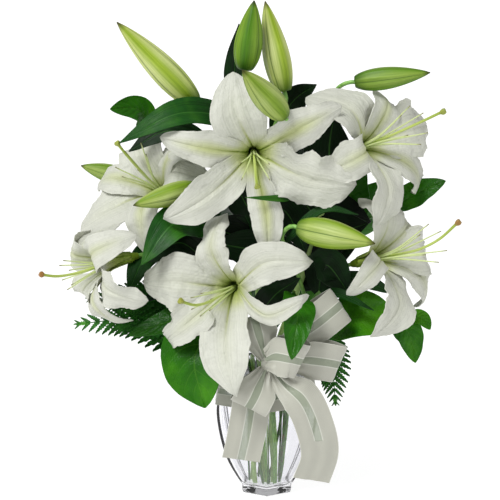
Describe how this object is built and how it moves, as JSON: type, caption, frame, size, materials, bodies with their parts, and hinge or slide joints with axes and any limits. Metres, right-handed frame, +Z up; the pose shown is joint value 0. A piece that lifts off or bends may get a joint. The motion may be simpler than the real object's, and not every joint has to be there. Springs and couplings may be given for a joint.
{
  "type": "lilies in a vase",
  "caption": "Cut white lilies with buds, lily leaves, salal and fern, standing in a small hexagonal glass vase with an ivory ribbon bow.",
  "frame": {"origin": "centre of the vase's base, on the surface it stands on", "axes": "+Z up through the vase; -Y is the front, where the bow is; +X is to the right as seen from the front"},
  "size_m": [0.4077, 0.2202, 0.4952],
  "materials": {
    "glass": "clear pressed glass, polished",
    "ribbon": "ivory satin with a sheer centre stripe",
    "lily_stem": "fresh green stem, satin",
    "petal": "white waxy petal, soft satin",
    "pistil": "pale green, satin",
    "bud": "yellow-green closed bud, satin",
    "lily_leaf": "dark green leaf, glossy",
    "salal": "broad green leaf, glossy",
    "fern": "green fern, matt"
  },
  "bodies": {
    "root": {"bud_centre": "bud", "bud_far_left": "bud", "bud_front_right": "bud", "bud_left": "bud", "bud_right": "bud", "bud_top_left": "bud", "bud_top_right": "bud", "bud_upper_left": "bud", "fern_left": "fern", "fern_left_upper": "fern", "fern_right": "fern", "lily_leaf_between": "lily_leaf", "lily_leaf_centre": "lily_leaf", "lily_leaf_centre_low": "lily_leaf", "lily_leaf_centre_right": "lily_leaf", "lily_leaf_far_left": "lily_leaf", "lily_leaf_left_dark": "lily_leaf", "lily_leaf_left_front": "lily_leaf", "lily_leaf_left_low": "lily_leaf", "lily_leaf_narrow_right": "lily_leaf", "lily_leaf_right_low": "lily_leaf", "lily_leaf_right_middle": "lily_leaf", "lily_leaf_round_dark": "lily_leaf", "lily_leaf_top_back": "lily_leaf", "lily_leaf_top_right": "lily_leaf", "lily_leaf_under_top": "lily_leaf", "lily_leaf_upper_left": "lily_leaf", "lily_leaf_upper_left_low": "lily_leaf", "lily_stem_front": "lily_stem", "lily_stem_left": "lily_stem", "lily_stem_low_right": "lily_stem", "lily_stem_right": "lily_stem", "lily_stem_top": "lily_stem", "perianth_far_left": "petal", "perianth_front": "petal", "perianth_left": "petal", "perianth_low_right": "petal", "perianth_right": "petal", "perianth_top": "petal", "pistil_far_left": "pistil", "pistil_front": "pistil", "pistil_left": "pistil", "pistil_low_right": "pistil", "pistil_right": "pistil", "pistil_top": "pistil", "ribbon_band": "ribbon", "ribbon_knot": "ribbon", "ribbon_loop_front": "ribbon", "ribbon_loop_left": "ribbon", "ribbon_loop_low": "ribbon", "ribbon_loop_lower_right": "ribbon", "ribbon_loop_upper_right": "ribbon", "ribbon_tail_left": "ribbon", "ribbon_tail_right": "ribbon", "salal_far_right": "salal", "salal_front": "salal", "salal_low_left": "salal", "salal_right": "salal", "salal_upper_left": "salal", "vase": "glass"}
  },
  "joints": []
}
